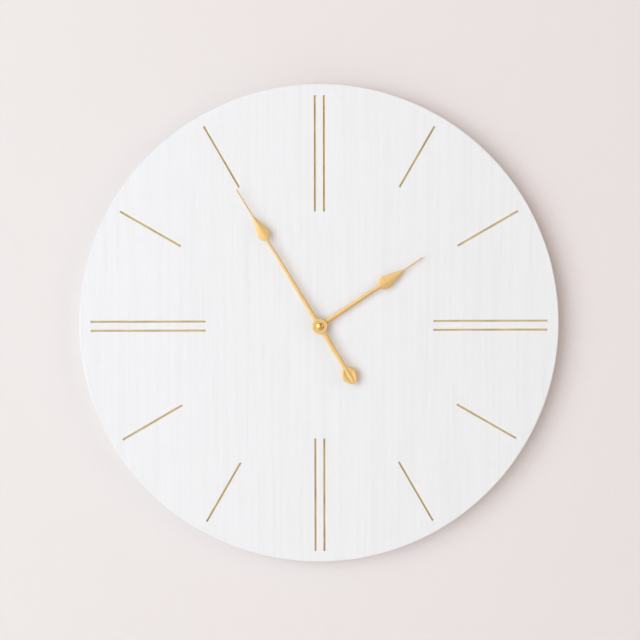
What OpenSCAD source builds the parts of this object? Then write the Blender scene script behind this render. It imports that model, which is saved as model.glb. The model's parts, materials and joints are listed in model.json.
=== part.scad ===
// Round wooden wall clock with engraved hour lines, two gold hands and a quartz movement
// recessed into the back of the panel. X is right, Z is up and the dial faces -Y.
// The origin is on the hands' axis, in the wall plane at the panel's back face.
// "Depth" below always means millimetres forward of the wall, towards -Y.

/* [Panel] */
// Diameter of the round panel
panel_d = 400; // [392:2:440]
// Thickness of the fibreboard core
core_t = 18; // [18:0.5:22]
// Thickness of the veneer on each face
veneer_t = 0.6; // [0.6:0.1:0.8]
// Radius of the rounding on the front edge
edge_r = 0.8; // [0.6:0.1:2]
// Side of the square pocket for the movement
pocket_w = 62; // [60:1:70]
// Thickness of panel left in front of the pocket
web_t = 3; // [2.6:0.1:3]

/* [Hour lines] */
// Radius of every line's outer end
mark_outer_r = 190.5; // [180:0.5:192]
// Radius of the inner end of the double lines at 12, 3, 6 and 9
double_inner_r = 95; // [80:1:120]
// Radius of the inner end of the single lines
single_inner_r = 132.8; // [110:0.2:160]
// Distance between the two lines of a pair
double_gap = 7.5; // [5:0.1:12]
// Width of each engraved line
groove_w = 1.6; // [1.2:0.1:2.4]
// Depth of each engraved line
groove_depth = 1.6; // [1.2:0.1:2]

/* [Time] */
// Minutes past twelve that the hands show
shown_minutes = 114.8; // [0:0.1:719]
// Degrees by which the hour hand was pressed on ahead of its exact place
hour_trim = -1; // [-3:0.5:3]

/* [Hands] */
// Distance from the axis to the minute hand's tip
minute_len = 132.5; // [120:0.5:150]
// Distance from the axis to the hour hand's tip
hour_len = 103.5; // [95:0.5:115]
// Thickness of both hand blades
blade_t = 0.9; // [0.6:0.1:1.2]
// Diameter of the round boss at each hand's hub
boss_d = 13; // [12:0.5:15]
// Width of the needle points
needle_w = 1.3; // [0.8:0.1:1.6]
// Width of the minute hand's leaf
minute_leaf_w = 10.4; // [9:0.2:14]
// Width of the hour hand's leaf
hour_leaf_w = 11.2; // [9:0.2:16]
// Width of the minute hand's counterweight
weight_w = 13.2; // [11:0.2:16]

/* [Movement] */
// Side of the square movement case
case_w = 56; // [56:0.5:58]
// Diameter of the threaded bushing
bushing_d = 8; // [7.6:0.1:8.4]
// Diameter of the battery cell with its sleeve
cell_d = 14.2; // [13.6:0.1:14.2]
// Diameter of the knob that sets the hands
knob_d = 9; // [8:0.5:10]

/* [Hanger] */
// Height of the hanger plate's middle above the axis
hanger_z = 150; // [110:1:165]
// Radius of the keyhole's round entry
entry_r = 4.75; // [4.5:0.05:5]
// Width of the keyhole's slot
slot_w = 4.6; // [4:0.1:5]

/* [Hidden] */
$fn = 96;

panel_r = panel_d / 2;
core_front = veneer_t + core_t;
face = core_front + veneer_t;
pocket_depth = face - web_t;
past = 0.5; // how far a cutting shape runs past the face that it cuts

// Depths of the movement's layers, from the wall forward
cover_back = 1;
cover_t = 1.2;
cover_front = cover_back + cover_t;
second_y = [2.7, 3.4];
fifth_y = [3.8, 4.5];
third_y = [4.9, 5.5];
centre_y = [5.9, 6.6];
plate_y = [7.5, 8.5];
motion_y = [9, 10];
hour_y = [10.9, 11.9];
washer_t = 0.8;
case_front = pocket_depth - washer_t;
wall = 1.5;
case_inner = case_front - 1.2;
inner_half = case_w / 2 - wall;

// Teeth of each wheel and of the pinion on the same shaft
rotor_n = 10;
fifth_n = 60;
fifth_pinion_n = 12;
second_n = 60;
second_pinion_n = 8;
third_n = 60;
third_pinion_n = 8;
centre_n = 64;
minute_n = 15;
motion_n = 45;
motion_pinion_n = 12;
hour_n = 48;
setting_n = 18;

// Gear modules: the motion work, the slow train, the rotor pair and the second pinion's pair
motion_m = 0.4;
train_m = 0.32;
rotor_m = 0.26;
train_reach = train_m * (centre_n + third_pinion_n) / 2;
third_m = 2 * train_reach / (second_pinion_n + third_n);
pressure = 26;
backlash = 0.03;

// Axes as [x, z], each pair of wheels at its centre distance
centre_axis = [0, 0];
third_axis = polar(train_reach, 160);
fifth_axis = polar(train_m * (second_n + fifth_pinion_n) / 2, 80);
rotor_axis = fifth_axis + polar(rotor_m * (rotor_n + fifth_n) / 2, 160);
motion_axis = [motion_m * (minute_n + motion_n) / 2, 0];
setting_axis = motion_axis + polar(motion_m * (motion_n + setting_n) / 2, 60);

// Shaft and bore radii
running = 0.04;
arbor_r = 0.5;
second_arbor_r = 0.6;
minute_r = 1.7;
hour_tube_r = 2.55;
setting_r = 1;
stud_r = 1;
stud_boss_r = 2.2;
bushing_r = bushing_d / 2;

// Depths of the pieces in front of the dial
fixing_washer_y = [face, face + 0.5];
fixing_nut_y = [face + 0.5, face + 2.5];
bushing_end = face + 3;
hour_blade_y = [face + 4.2, face + 4.2 + blade_t];
hour_tube_end = hour_blade_y[1] + 0.1;
minute_blade_y = [hour_tube_end + 1.4, hour_tube_end + 1.4 + blade_t];
minute_seat_y = [minute_blade_y[0] - 0.4, minute_blade_y[1] + 0.2];
nut_y = [minute_seat_y[1], minute_seat_y[1] + 2.3];

// Angles of the hands, clockwise from twelve as seen from the front
minute_angle = 6 * (shown_minutes % 60);
hour_angle = shown_minutes / 2 + hour_trim;

// Hand shapes as distances from the axis: a leaf's or weight's base, widest place and end.
// Stem widths are at the hub and at that base.
minute_stem = [3.8, 2.1];
minute_leaf = [84.2, 90, 106.5];
hour_stem = [3.8, 3.1];
hour_leaf = [59.5, 66, 84.5];
leaf_power = 1.05;
tail_stem = [3.9, 3.6];
weight = [41.2, 47.8, 56.8];
weight_power = 1.9;
minute_bush_r = 2.9;
minute_flats = 2.6;
thread_r = 1.25;
hour_collet_r = 3.2;

// Battery bay below the gear space
partition_z = [-11.7, -10.9];
cell_r = cell_d / 2;
cell_z = -19.1;
cell_y = 0.4 + cell_r;
cell_x = [-25.1, 24.4];
bay_front = case_front - 0.7;

// Coil across the top of the movement
coil_z = 22.7;
coil_y = 5.6;
coil_half = 10.5;
flange_t = 0.8;
core_bar = [28, 1.2, 3];
stator_y = [coil_y + core_bar.y / 2, coil_y + core_bar.y / 2 + 0.8];

post_places = [for (x = [-24, 24], z = [-8.4, 24]) [x, z]];
post_r = 1.6;
board_x = [-inner_half + 0.3, -13.5];
board_z = [-5, 17];
board_y = [case_inner - 1.6, case_inner - 0.8];

// The two contact strips: their thickness, and the depths of the pads that the cell touches
strip_t = 0.3;
pad_y = span(cell_y, 3);
positive_lead_y = [board_y[1] - 4, board_y[1]];
negative_lead_y = [board_y[1] - 1.2, board_y[1]];

plate_t = 1.5;
plate_half = [23, 11];
entry_z = hanger_z - 4;
slot_top_z = hanger_z + 5;
screw_x = 17;
screw_core_r = 1.25;

function polar(r, angle) = r * [cos(angle), sin(angle)];
function span(middle, half) = [middle - half, middle + half];

// Half the tooth's angle at radius r, for an involute gear of n teeth and module m
function involute(r, base_r) = let (a = acos(min(1, base_r / r))) tan(a) * 180 / PI - a;
function tooth_half(r, n, m) =
    let (base_r = m * n / 2 * cos(pressure))
    90 / n - backlash / (m * n) * 180 / PI
    + involute(m * n / 2, base_r) - involute(max(r, base_r), base_r);
function tooth(n, m, i) =
    let (pitch_r = m * n / 2, root = pitch_r - m, tip = pitch_r + 0.75 * m)
    [for (p = [[root, -1], [pitch_r, -1], [tip, -1], [tip, 1], [pitch_r, 1], [root, 1]])
        polar(p[0], 360 * i / n + p[1] * tooth_half(p[0], n, m))];
function gear_points(n, m) = [for (i = [0 : n - 1]) each tooth(n, m, i)];

// Angle of a tooth on the driven gear that meshes with a driver at the given angle
function mesh(angle, teeth, driven_teeth, direction) =
    direction + 180 + (direction - angle) * teeth / driven_teeth + 180 / driven_teeth;
function direction_to(a, b) = atan2(b.y - a.y, b.x - a.x);

rotor_phase = 0;
fifth_phase = mesh(rotor_phase, rotor_n, fifth_n, direction_to(rotor_axis, fifth_axis));
second_phase = mesh(0, fifth_pinion_n, second_n, direction_to(fifth_axis, centre_axis));
third_phase = mesh(0, second_pinion_n, third_n, direction_to(centre_axis, third_axis));
centre_phase = mesh(0, third_pinion_n, centre_n, direction_to(third_axis, centre_axis));
minute_phase = 90 - minute_angle;
motion_phase = mesh(minute_phase, minute_n, motion_n, direction_to(centre_axis, motion_axis));
hour_phase = mesh(0, motion_pinion_n, hour_n, direction_to(motion_axis, centre_axis));
setting_phase = mesh(motion_phase, motion_n, setting_n, direction_to(motion_axis, setting_axis));

// Radius of the panel at a distance t behind its front face, round the edge
function rim_r(t) = panel_r - edge_r + sqrt(pow(edge_r, 2) - pow(max(0, edge_r - t), 2));

// Half widths at a distance u along a hand, for a leaf or weight given as [base, widest, end]:
// both swell round a quarter ellipse, then a leaf runs down to its needle and a weight closes bluntly
function swell(u, places, w, stem_w) =
    stem_w / 2 + (w - stem_w) / 2 * sqrt(1 - pow((places[1] - u) / (places[1] - places[0]), 2));
function beyond(u, places) = (u - places[1]) / (places[2] - places[1]);
function leaf_half(u, places, w, stem_w) =
    u < places[1] ? swell(u, places, w, stem_w)
    : needle_w / 2 + (w - needle_w) / 2 * pow(1 - beyond(u, places), leaf_power);
function weight_half(u) =
    u < weight[1] ? swell(u, weight, weight_w, tail_stem[1])
    : weight_w / 2 * (1 - pow(beyond(u, weight), weight_power));
function stations(places) = concat(
    [for (i = [0 : 7]) places[1] - (places[1] - places[0]) * cos(90 * i / 8)],
    [for (i = [0 : 8]) places[1] + (places[2] - places[1]) * i / 8]);
function mirrored(side) = concat(side, [for (i = [len(side) - 1 : -1 : 0]) [-side[i].x, side[i].y]]);

// Draws a 2-D shape, given in X and Z, from one depth to another
module layer(y) {
    translate([0, -y[0], 0]) rotate([90, 0, 0]) linear_extrude(y[1] - y[0]) children();
}

// A round rod of radius r about an axis [x, z]
module rod(axis, r, y) {
    layer(y) translate(axis) circle(r);
}

module gear(axis, n, m, phase, y) {
    layer(y) translate(axis) rotate(phase) polygon(gear_points(n, m));
}

// A rectangle between opposite corners, and one with its corners cut off
module rect(x, z) {
    translate([x[0], z[0]]) square([x[1] - x[0], z[1] - z[0]]);
}

module chamfered(x, z, c) {
    polygon([[x[0] + c, z[0]], [x[1] - c, z[0]], [x[1], z[0] + c], [x[1], z[1] - c],
        [x[1] - c, z[1]], [x[0] + c, z[1]], [x[0], z[1] - c], [x[0], z[0] + c]]);
}

// The panel's outline between two depths, following the rounded front edge
module panel_slab(y) {
    steps = 6;
    rotate([90, 0, 0]) rotate_extrude($fn = 180)
        polygon(concat([[0, y[1]], [0, y[0]], [panel_r, y[0]]],
            [for (i = [0 : steps])
                let (d = max(y[0], face - edge_r) + (y[1] - max(y[0], face - edge_r)) * i / steps)
                if (d > y[0] && y[1] > face - edge_r) [rim_r(face - d), d]]));
}

module hour_lines(y) {
    for (hour = [0 : 11]) {
        paired = hour % 3 == 0;
        inner = paired ? double_inner_r : single_inner_r;
        for (x = paired ? [-double_gap / 2, double_gap / 2] : [0])
            layer(y) rotate(-30 * hour)
                rect([x - groove_w / 2, x + groove_w / 2], [inner, mark_outer_r]);
    }
}

module pocket(y) {
    layer(y) chamfered([-pocket_w / 2, pocket_w / 2], [-pocket_w / 2, pocket_w / 2], 3);
}

module hanger_outline() {
    chamfered(span(0, plate_half[0]), span(hanger_z, plate_half[1]), 2);
}

// ---- panel ----

module dial_core() {
    color("burlywood") difference() {
        panel_slab([veneer_t, core_front]);
        hour_lines([face - groove_depth, face]);
        pocket([-past, pocket_depth]);
        rod(centre_axis, bushing_r + 0.2, [0, face]);
        layer([-past, plate_t]) hanger_outline();
        layer([-past, 9]) chamfered([-5.5, 5.5], [entry_z - 5.5, slot_top_z + 5], 2);
        for (x = [-screw_x, screw_x])
            rod([x, hanger_z], screw_core_r, [0, 12]);
    }
}

module front_veneer() {
    color("white") difference() {
        panel_slab([core_front, face]);
        hour_lines([core_front - past, face + past]);
        rod(centre_axis, bushing_r + 0.2, [core_front - past, face + past]);
    }
}

module back_veneer() {
    color("white") difference() {
        panel_slab([0, veneer_t]);
        pocket([-past, veneer_t + past]);
        layer([-past, veneer_t + past]) hanger_outline();
    }
}

module hanger_plate() {
    color("silver") difference() {
        layer([0, plate_t]) hanger_outline();
        rod([0, entry_z], entry_r, [-past, plate_t + past]);
        layer([-past, plate_t + past]) rect([-slot_w / 2, slot_w / 2], [entry_z, slot_top_z]);
        rod([0, slot_top_z], slot_w / 2, [-past, plate_t + past]);
        for (x = [-screw_x, screw_x])
            screw(x);
    }
}

// Countersunk wood screw, its head flush with the wall plane
module screw(x) {
    translate([x, 0, hanger_z]) rotate([90, 0, 0]) rotate_extrude()
        polygon([[0, 0], [2.75, 0], [screw_core_r, plate_t], [screw_core_r, 11], [0, 12]]);
}

module hanger_screws() {
    color("goldenrod") for (x = [-screw_x, screw_x])
        difference() {
            screw(x);
            layer([-past, 0.8]) for (turn = [0, 90])
                translate([x, hanger_z]) rotate(turn) square([2.6, 0.5], center = true);
        }
}

// ---- movement case ----

module case_outline() {
    chamfered([-case_w / 2, case_w / 2], [-case_w / 2, case_w / 2], 2);
}

module movement_housing() {
    inner_x = [-inner_half, inner_half];
    color("dimgray") difference() {
        union() {
            difference() {
                layer([cover_back, case_front]) case_outline();
                layer([0, case_inner]) rect(inner_x, [partition_z[1], inner_half]);
                layer([0, bay_front]) rect(inner_x, [-inner_half, partition_z[0]]);
                layer([0, cover_front]) rect([-case_w, case_w], [partition_z[0], case_w]);
            }
            for (p = post_places)
                rod(p, post_r, [plate_y[1], case_inner + 0.2]);
            rod(motion_axis, stud_boss_r, [hour_y[1] + 0.7, case_inner + 0.2]);
            rod(setting_axis, stud_boss_r, [motion_y[1] + 0.7, case_inner + 0.2]);
        }
        rod(centre_axis, bushing_r, [case_inner - past, case_front + past]);
        rod(motion_axis, stud_r, [hour_y[1], case_inner - 0.6]);
        rod(setting_axis, setting_r + running, [motion_y[1], case_inner - 0.6]);
        // slots that lead the two battery contacts through the partition
        layer(positive_lead_y) rect([-inner_half, -inner_half + strip_t], [-12.5, -10]);
        layer(negative_lead_y) rect([inner_half - strip_t, inner_half], [-12.5, -10]);
    }
}

module rear_cover() {
    cup_y = [cover_front + 0.4, cover_front + 1.4];
    color("dimgray") difference() {
        union() {
            layer([cover_back, cover_front]) intersection() {
                case_outline();
                rect([-case_w, case_w], [partition_z[0], case_w]);
            }
            rod(setting_axis, knob_d / 2 + 1.8, [cover_back, cup_y[1]]);
            for (p = post_places)
                rod(p, post_r, [cover_back, plate_y[0]]);
            for (side = [-1, 1])
                layer([cover_back, cover_front + 2.6])
                    rect(span(side * (inner_half - 0.5), 0.4), [4, 9]);
        }
        rod(setting_axis, knob_d / 2 + 0.6, [0, cup_y[0]]);
        rod(setting_axis, setting_r + running, [0, cup_y[1] + past]);
        rod(centre_axis, second_arbor_r + running, [cover_back + 0.4, cover_front + past]);
        for (axis = [third_axis, fifth_axis, rotor_axis])
            rod(axis, arbor_r + running, [cover_back + 0.4, cover_front + past]);
    }
}

module middle_plate() {
    color("gainsboro") difference() {
        union() {
            layer(plate_y)
                rect([-inner_half + 0.5, inner_half - 0.5], [partition_z[1] + 0.3, inner_half - 0.3]);
            rod(motion_axis, stud_r, [plate_y[0], case_inner - 0.7]);
            for (side = [-1, 1])
                rod([side * 12.5, coil_z], 1.2, [stator_y[1], plate_y[1]]);
        }
        layer([plate_y[0] - past, plate_y[1] + past]) rect([-11, 11], [coil_z - 3.5, coil_z + 2.8]);
        layer([plate_y[0] - past, plate_y[1] + past])
            rect([-inner_half, -inner_half + 1], [-12, -1.5]);
        rod(centre_axis, minute_r + running, [plate_y[0] - past, plate_y[1] + past]);
        rod(setting_axis, setting_r + running, [plate_y[0] - past, plate_y[1] + past]);
        for (axis = [third_axis, fifth_axis, rotor_axis])
            rod(axis, arbor_r + running, [plate_y[0] - past, plate_y[1] + past]);
    }
}

module threaded_bushing() {
    color("gold") difference() {
        union() {
            rod(centre_axis, bushing_r, [case_inner, bushing_end]);
            rod(centre_axis, bushing_r + 1.5, [case_inner - 0.8, case_inner]);
        }
        rod(centre_axis, hour_tube_r + 0.08, [case_inner - 1, bushing_end + past]);
    }
}

module cushion_washer() {
    color("black") difference() {
        rod(centre_axis, 10, [case_front, pocket_depth]);
        rod(centre_axis, bushing_r, [case_front - past, pocket_depth + past]);
    }
}

module fixing_washer() {
    color("gold") difference() {
        rod(centre_axis, 6.1, fixing_washer_y);
        rod(centre_axis, bushing_r, [fixing_washer_y[0] - past, fixing_washer_y[1] + past]);
    }
}

module fixing_nut() {
    nut_r = 5.8;
    color("gold") difference() {
        layer(fixing_nut_y) circle(nut_r, $fn = 6);
        rod(centre_axis, bushing_r, [fixing_nut_y[0] - past, fixing_nut_y[1] + past]);
    }
}

// ---- electronics ----

module circuit_board() {
    color("darkgreen") layer(board_y) rect(board_x, board_z);
}

module quartz_crystal() {
    color("silver") translate([-17, 1 - board_y[0], 7]) cylinder(r = 1, h = 6);
}

module timing_chip() {
    color("black") rod([-20.5, 2], 3, [board_y[0] - 1.2, board_y[0]]);
}

// A bar along X through the coil, its section given as [depth, height]
module coil_bar(half_x, section) {
    translate([-half_x, -coil_y - section.x / 2, coil_z - section.y / 2])
        cube([2 * half_x, section.x, section.y]);
}

module coil_round(x, r) {
    translate([x[0], -coil_y, coil_z]) rotate([0, 90, 0]) cylinder(r = r, h = x[1] - x[0]);
}

module coil_bobbin() {
    color("ivory") difference() {
        union() {
            coil_bar(coil_half - 0.1, [2.2, 4]);
            coil_round([-coil_half, flange_t - coil_half], 3);
            coil_round([coil_half - flange_t, coil_half], 3);
        }
        coil_bar(coil_half + 1, [core_bar.y, core_bar.z]);
    }
}

module coil_winding() {
    color("peru") difference() {
        coil_round([flange_t - coil_half, coil_half - flange_t], 2.85);
        coil_bar(coil_half, [2.2, 4]);
    }
}

module coil_core() {
    color("silver") coil_bar(core_bar.x / 2, [core_bar.y, core_bar.z]);
}

module stator() {
    color("silver") layer(stator_y) difference() {
        union() {
            translate(rotor_axis) circle(4.8);
            rect([-14, 14], [14, 17]);
            for (side = [-1, 1])
                rect(span(side * 12.5, 1.5), [14, coil_z + core_bar.z / 2]);
        }
        translate(rotor_axis) circle(3.4);
    }
}

module positive_contact() {
    strip_x = [-inner_half, -inner_half + strip_t];
    color("silver") union() {
        layer(pad_y) rect(strip_x, [cell_z - 3.4, -12.3]);
        layer(positive_lead_y) rect(strip_x, [-12.5, -2]);
    }
}

// The negative contact's pad is a leaf bent in towards the cell's flat end
module negative_contact() {
    strip_x = [inner_half - strip_t, inner_half];
    leaf_x = [cell_x[1] + 0.1, cell_x[1] + 0.45];
    leaf_z = [cell_z - 4.9, cell_z + 4.9];
    foot_z = -10.6;
    board_lead_x = [-16, -14];
    color("silver") union() {
        layer([pad_y[0], negative_lead_y[1]]) rect(strip_x, [leaf_z[0], -12.3]);
        layer(pad_y) polygon([[strip_x[0], leaf_z[1]], [leaf_x[0], cell_z], [strip_x[0], leaf_z[0]],
            [strip_x[1], leaf_z[0]], [strip_x[1], leaf_z[0] + 0.4], [leaf_x[1], cell_z],
            [strip_x[1], leaf_z[1] - 0.4], [strip_x[1], leaf_z[1]]]);
        layer(negative_lead_y) rect(strip_x, [-12.5, foot_z]);
        layer(negative_lead_y) rect([board_lead_x[0], inner_half - 0.2], [partition_z[1], foot_z]);
        layer([board_y[1], board_y[1] + strip_t])
            rect(board_lead_x, [partition_z[1], board_z[0] + 3]);
    }
}

// ---- going train ----

module rotor_magnet() {
    color("dimgray") difference() {
        rod(rotor_axis, 2.9, [6, 7.2]);
        rod(rotor_axis, 0.9, [5, 8]);
    }
}

module rotor_pinion() {
    color("white") union() {
        gear(rotor_axis, rotor_n, rotor_m, rotor_phase, [fifth_y[0] - 0.2, fifth_y[1] + 0.2]);
        rod(rotor_axis, 0.9, [fifth_y[1] + 0.1, 7.2]);
        rod(rotor_axis, arbor_r, [cover_back + 0.5, plate_y[1] - 0.2]);
    }
}

module fifth_wheel() {
    color("white") union() {
        gear(fifth_axis, fifth_n, rotor_m, fifth_phase, fifth_y);
        gear(fifth_axis, fifth_pinion_n, train_m, 0, [second_y[0] - 0.2, fifth_y[0] + 0.1]);
        rod(fifth_axis, arbor_r, [cover_back + 0.5, plate_y[1] - 0.2]);
    }
}

module second_wheel() {
    color("white") difference() {
        union() {
            gear(centre_axis, second_n, train_m, second_phase, second_y);
            gear(centre_axis, second_pinion_n, third_m, 0, [second_y[1] - 0.1, third_y[1] + 0.1]);
        }
        rod(centre_axis, second_arbor_r, [0, 8]);
    }
}

module second_arbor() {
    color("silver") rod(centre_axis, second_arbor_r, [cover_back + 0.5, case_inner]);
}

module third_wheel() {
    color("white") union() {
        gear(third_axis, third_n, third_m, third_phase, third_y);
        gear(third_axis, third_pinion_n, train_m, 0, [third_y[1] - 0.1, centre_y[1] + 0.2]);
        rod(third_axis, arbor_r, [cover_back + 0.5, plate_y[1] - 0.2]);
    }
}

module centre_wheel() {
    color("white") difference() {
        union() {
            gear(centre_axis, centre_n, train_m, centre_phase, centre_y);
            rod(centre_axis, 2.6, [centre_y[0], plate_y[0] - 0.3]);
        }
        rod(centre_axis, minute_r + 0.02, [centre_y[0] - past, plate_y[0]]);
    }
}

// ---- motion work and hands ----

module minute_arbor() {
    color("gold") difference() {
        union() {
            rod(centre_axis, minute_r, [centre_y[0], minute_seat_y[0]]);
            layer(minute_seat_y) intersection() {
                circle(minute_r);
                rotate(-minute_angle) square([minute_flats, 4], center = true);
            }
            rod(centre_axis, thread_r, [minute_seat_y[1], nut_y[1] - 0.8]);
            gear(centre_axis, minute_n, motion_m, minute_phase, motion_y);
        }
        rod(centre_axis, second_arbor_r + 0.08, [centre_y[0] - past, case_inner + 1]);
    }
}

module motion_wheel() {
    color("white") difference() {
        union() {
            gear(motion_axis, motion_n, motion_m, motion_phase, motion_y);
            gear(motion_axis, motion_pinion_n, motion_m, 0, [motion_y[1] - 0.1, hour_y[1] + 0.1]);
        }
        rod(motion_axis, stud_r + running, [motion_y[0] - past, hour_y[1] + past]);
    }
}

module hour_wheel() {
    color("ivory") difference() {
        union() {
            gear(centre_axis, hour_n, motion_m, hour_phase, hour_y);
            rod(centre_axis, hour_tube_r, [motion_y[1] + 0.4, hour_tube_end]);
        }
        rod(centre_axis, minute_r + 0.08, [motion_y[1], hour_tube_end + past]);
    }
}

module setting_wheel() {
    color("white") union() {
        gear(setting_axis, setting_n, motion_m, setting_phase, motion_y);
        rod(setting_axis, setting_r, [cover_front + 0.2, case_inner - 1]);
    }
}

module setting_knob() {
    flutes = 18;
    color("white") difference() {
        rod(setting_axis, knob_d / 2, [0.3, cover_front + 0.2]);
        for (i = [1 : flutes])
            rod(setting_axis + polar(knob_d / 2 + 0.2, 360 * i / flutes), 0.5, [0, cover_front + past]);
        layer([0, 0.9]) translate(setting_axis) square([knob_d * 0.7, 1.2], center = true);
    }
}

// A blade's outline, pointing up: boss, tapering stem, leaf and needle
module hand_outline(stem, leaf, leaf_w, length) {
    tip = 1.5;
    circle(boss_d / 2);
    polygon([[-stem[0] / 2, 0], [stem[0] / 2, 0], [stem[1] / 2, leaf[0] + 1],
        [-stem[1] / 2, leaf[0] + 1]]);
    polygon(mirrored([for (u = stations(leaf)) [leaf_half(u, leaf, leaf_w, stem[1]), u]]));
    polygon([[-needle_w / 2, leaf[2] - 1], [needle_w / 2, leaf[2] - 1],
        [needle_w / 2, length - tip], [0, length], [-needle_w / 2, length - tip]]);
}

// Counterweight on the minute hand's tail, with a blunt point at its far end
module tail_outline() {
    rotate(180) {
        polygon([[-tail_stem[0] / 2, 0], [tail_stem[0] / 2, 0], [tail_stem[1] / 2, weight[0] + 1],
            [-tail_stem[1] / 2, weight[0] + 1]]);
        polygon(mirrored([for (u = stations(weight)) [weight_half(u), u]]));
    }
}

module minute_hand() {
    color("goldenrod") layer(minute_blade_y) rotate(-minute_angle) difference() {
        union() {
            hand_outline(minute_stem, minute_leaf, minute_leaf_w, minute_len);
            tail_outline();
        }
        circle(minute_bush_r);
    }
}

module minute_bush() {
    color("gold") difference() {
        union() {
            rod(centre_axis, minute_bush_r, minute_blade_y);
            rod(centre_axis, minute_bush_r + 0.5, [minute_seat_y[0], minute_blade_y[0]]);
        }
        layer([minute_seat_y[0] - past, minute_blade_y[1] + past]) intersection() {
            circle(minute_r);
            rotate(-minute_angle) square([minute_flats, 4], center = true);
        }
    }
}

module hand_nut() {
    nut_r = 3.2;
    height = nut_y[1] - nut_y[0];
    dome = 1.1;
    bore_end = height - 0.8;
    color("gold") translate([0, -nut_y[0], 0]) rotate([90, 0, 0]) rotate_extrude()
        polygon(concat([[0, bore_end], [thread_r, bore_end], [thread_r, 0], [nut_r, 0]],
            [for (i = [0 : 6]) let (a = 15 * i) [nut_r * cos(a), height - dome + dome * sin(a)]]));
}

module hour_collet() {
    color("gold") difference() {
        union() {
            rod(centre_axis, hour_collet_r + 0.5, [hour_blade_y[0] - 0.8, hour_blade_y[0]]);
            rod(centre_axis, hour_collet_r, hour_blade_y);
        }
        rod(centre_axis, hour_tube_r, [hour_blade_y[0] - 1, hour_blade_y[1] + past]);
    }
}

module hour_hand() {
    color("goldenrod") layer(hour_blade_y) rotate(-hour_angle) difference() {
        hand_outline(hour_stem, hour_leaf, hour_leaf_w, hour_len);
        circle(hour_collet_r);
    }
}

// ---- battery ----

module cell_round(x, r) {
    translate([x[0], -cell_y, cell_z]) rotate([0, 90, 0]) cylinder(r = r, h = x[1] - x[0]);
}

module battery_cell() {
    color("silver") union() {
        cell_round(cell_x, cell_r - 0.1);
        cell_round([cell_x[0] - 1, cell_x[0]], 2.75);
    }
}

module battery_sleeve() {
    color("darkseagreen") difference() {
        cell_round([cell_x[0] + 0.2, cell_x[1] - 0.2], cell_r);
        cell_round([cell_x[0], cell_x[1]], cell_r - 0.1);
    }
}

dial_core();
front_veneer();
back_veneer();
hanger_plate();
hanger_screws();
movement_housing();
rear_cover();
middle_plate();
threaded_bushing();
cushion_washer();
fixing_washer();
fixing_nut();
circuit_board();
quartz_crystal();
timing_chip();
coil_bobbin();
coil_winding();
coil_core();
stator();
positive_contact();
negative_contact();
rotor_magnet();
rotor_pinion();
fifth_wheel();
second_wheel();
second_arbor();
third_wheel();
centre_wheel();
minute_arbor();
minute_hand();
minute_bush();
hand_nut();
hour_wheel();
hour_collet();
hour_hand();
motion_wheel();
setting_wheel();
setting_knob();
battery_cell();
battery_sleeve();
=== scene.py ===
"""Looks of the round wooden wall clock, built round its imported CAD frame.

Helpers take millimetres: x to the right, z up and depth forward of the wall, so a depth d is y = -d."""

import json
import math

import bmesh
import bpy
from mathutils import Matrix, Vector

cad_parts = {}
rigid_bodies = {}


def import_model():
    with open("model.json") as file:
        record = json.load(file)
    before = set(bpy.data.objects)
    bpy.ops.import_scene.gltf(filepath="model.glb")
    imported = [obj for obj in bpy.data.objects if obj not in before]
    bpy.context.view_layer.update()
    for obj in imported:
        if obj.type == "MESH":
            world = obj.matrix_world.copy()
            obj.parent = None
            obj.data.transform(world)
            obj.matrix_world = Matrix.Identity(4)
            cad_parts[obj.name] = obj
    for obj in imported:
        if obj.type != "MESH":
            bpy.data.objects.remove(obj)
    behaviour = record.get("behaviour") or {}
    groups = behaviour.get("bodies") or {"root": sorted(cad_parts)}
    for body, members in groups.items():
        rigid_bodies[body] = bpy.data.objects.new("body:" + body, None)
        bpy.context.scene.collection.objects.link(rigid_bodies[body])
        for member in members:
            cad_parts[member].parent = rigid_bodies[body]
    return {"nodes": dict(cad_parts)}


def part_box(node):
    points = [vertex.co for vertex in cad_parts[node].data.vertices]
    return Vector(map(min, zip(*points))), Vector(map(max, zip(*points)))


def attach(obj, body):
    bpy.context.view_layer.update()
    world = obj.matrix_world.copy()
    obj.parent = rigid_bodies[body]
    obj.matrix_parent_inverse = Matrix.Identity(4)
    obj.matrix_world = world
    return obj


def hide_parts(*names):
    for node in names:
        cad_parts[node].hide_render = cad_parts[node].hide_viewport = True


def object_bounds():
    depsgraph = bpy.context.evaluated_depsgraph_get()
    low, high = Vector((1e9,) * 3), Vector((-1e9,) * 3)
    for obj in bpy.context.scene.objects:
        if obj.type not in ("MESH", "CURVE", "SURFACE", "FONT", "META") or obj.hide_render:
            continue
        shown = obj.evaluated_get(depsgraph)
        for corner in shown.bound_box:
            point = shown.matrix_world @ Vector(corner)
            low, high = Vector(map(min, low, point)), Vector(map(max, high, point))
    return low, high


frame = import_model()
cad_low, cad_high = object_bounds()

MM = 0.001

# ---- sizes, from the frame where it holds them ----


def depths(node):
    """Rear and front depth of a CAD node, in millimetres."""
    low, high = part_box(node)
    return -high.y / MM, -low.y / MM


def middle(node):
    """Middle of a CAD node as (x, z), in millimetres."""
    low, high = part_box(node)
    return (low.x + high.x) / 2 / MM, (low.z + high.z) / 2 / MM


FACE = depths("front_veneer")[1]
CORE_BACK, CORE_FRONT = depths("dial_core")
PANEL_R = min(-cad_low.x, cad_high.x, -cad_low.z, cad_high.z) / MM
EDGE_R = 0.8
POCKET_HALF = 31
POCKET_DEPTH = depths("cushion_washer")[1]
CENTRE_HOLE_R = 4.2
THREAD_R = 3.98

MARK_OUTER_R = 190.5
DOUBLE_INNER_R = 95
SINGLE_INNER_R = 132.8
DOUBLE_GAP = 7.5
GROOVE_W = 1.6
GROOVE_DEPTH = 1.6

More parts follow.
